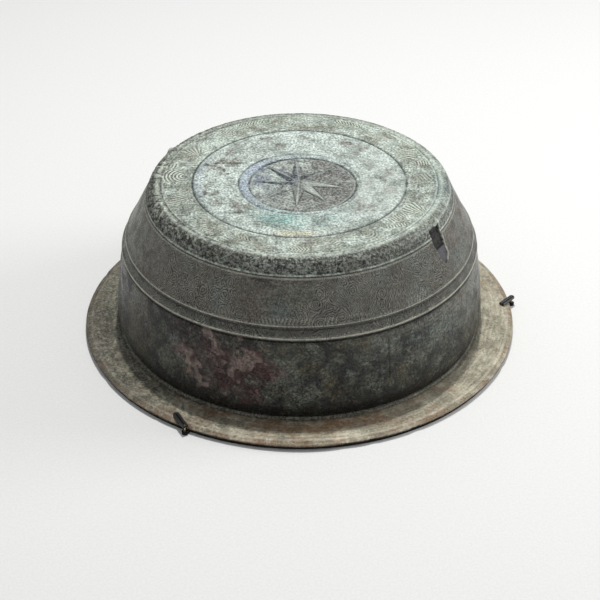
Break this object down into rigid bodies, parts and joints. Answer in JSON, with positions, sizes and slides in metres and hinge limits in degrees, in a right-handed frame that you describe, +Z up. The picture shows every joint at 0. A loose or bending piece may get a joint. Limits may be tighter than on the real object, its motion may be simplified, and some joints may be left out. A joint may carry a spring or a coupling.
{
  "type": "basin-shaped gong",
  "caption": "Flanged bronze basin gong lying face up on a low ring mount, held at its rim by turning wire clips.",
  "frame": {"origin": "centre of the plane the mount stands on, on the gong's axis", "axes": "+Z up along the gong's axis, towards its struck face; -Y is the side with the front clip"},
  "size_m": [0.5059, 0.5, 0.1847],
  "materials": {
    "patinated_bronze": "excavated bronze with green and brown patina",
    "slate_fill": "smooth toned fill, slate grey",
    "black_paint": "matt black paint",
    "black_foam": "closed-cell foam, matt",
    "brass_tube": "dulled brass tube",
    "brass_rod": "drawn brass, lightly dulled",
    "black_tubing": "satin black shrink tubing"
  },
  "bodies": {
    "root": {"support_plate": "black_paint", "rim_gasket": "black_foam", "gong_casting": "patinated_bronze", "loss_fill": "slate_fill", "right_clip_socket": "brass_tube", "rear_clip_socket": "brass_tube", "front_clip_socket": "brass_tube"},
    "right_clip": {"right_clip_leg": "brass_rod", "right_clip_wire": "brass_rod", "right_clip_sheath": "black_tubing"},
    "rear_clip": {"rear_clip_leg": "brass_rod", "rear_clip_wire": "brass_rod", "rear_clip_sheath": "black_tubing"},
    "front_clip": {"front_clip_leg": "brass_rod", "front_clip_wire": "brass_rod", "front_clip_sheath": "black_tubing"}
  },
  "joints": [
    {"name": "right_clip_turn", "type": "hinge", "parent": "root", "child": "right_clip", "pos_m": [0.25246, 0.02609, 0.005], "axis": [0, 0, 1], "range_deg": [-42, 88]},
    {"name": "rear_clip_turn", "type": "hinge", "parent": "root", "child": "rear_clip", "pos_m": [-0.14159, 0.20991, 0.005], "axis": [0, 0, 1], "range_deg": [-48, 82]},
    {"name": "front_clip_turn", "type": "hinge", "parent": "root", "child": "front_clip", "pos_m": [-0.12237, -0.22075, 0.005], "axis": [0, 0, 1], "range_deg": [-56, 73]}
  ]
}
